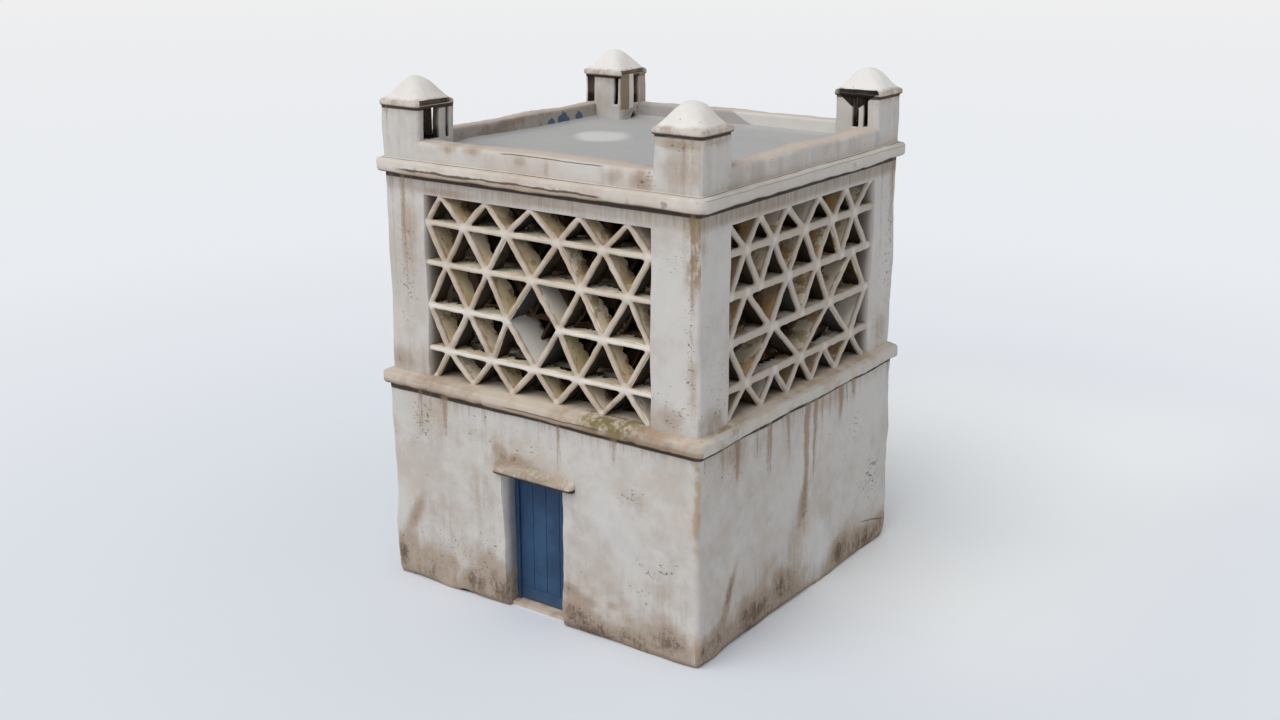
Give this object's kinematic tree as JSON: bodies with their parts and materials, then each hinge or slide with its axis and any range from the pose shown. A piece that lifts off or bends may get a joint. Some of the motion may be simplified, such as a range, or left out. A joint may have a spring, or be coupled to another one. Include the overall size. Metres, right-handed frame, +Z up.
{
  "type": "dovecote",
  "caption": "Two-storey whitewashed stone dovecote: a plain room with a plank door, a loft walled with slate lattices, and a flat roof with a parapet and domed corner turrets.",
  "frame": {"origin": "on the ground, under the middle of the building in plan", "axes": "+Z up; the front wall, with the door, faces -Y; +X is to the right of somebody facing the door"},
  "size_m": [4.54, 4.63, 6.05],
  "materials": {
    "limewash": "weathered limewash over lime plaster",
    "slate_slabs": "plastered slate slabs",
    "flagstone": "worn flagstone",
    "roof_lime": "trowelled lime",
    "timber": "hewn, unpainted",
    "door_paint": "matt blue paint",
    "iron": "dark forged"
  },
  "bodies": {
    "building": {"back_wall": "limewash", "corner_pier_back_left": "limewash", "corner_pier_back_right": "limewash", "corner_pier_front_left": "limewash", "corner_pier_front_right": "limewash", "cornice_front_back": "limewash", "cornice_sides": "limewash", "door_frame": "door_paint", "door_hood": "limewash", "door_pintles": "iron", "door_sill": "flagstone", "frieze_front_back": "limewash", "frieze_sides": "limewash", "front_wall_left": "limewash", "front_wall_over_door": "limewash", "front_wall_right": "limewash", "ground_floor": "flagstone", "lattice_back": "slate_slabs", "lattice_front": "slate_slabs", "lattice_left": "slate_slabs", "lattice_right": "slate_slabs", "left_wall": "limewash", "loft_beams": "timber", "loft_floor": "flagstone", "nest_slabs_front_back": "slate_slabs", "nest_slabs_sides": "slate_slabs", "parapet_back": "limewash", "parapet_front": "limewash", "parapet_left": "limewash", "parapet_right": "limewash", "right_wall": "limewash", "roof_beams": "timber", "roof_slab": "roof_lime", "string_course_front_back": "limewash", "string_course_sides": "limewash", "turret_back_left": "limewash", "turret_back_right": "limewash", "turret_cap_back_left": "limewash", "turret_cap_back_right": "limewash", "turret_cap_front_left": "limewash", "turret_cap_front_right": "limewash", "turret_front_left": "limewash", "turret_front_right": "limewash"},
    "leaf": {"door_leaf": "door_paint", "door_hinges": "iron"}
  },
  "joints": [
    {"name": "door_hinge", "type": "hinge", "parent": "building", "child": "leaf", "pos_m": [-0.4215, -1.936, 0.85], "axis": [0, 0, 1], "range_deg": [0, 90]}
  ]
}
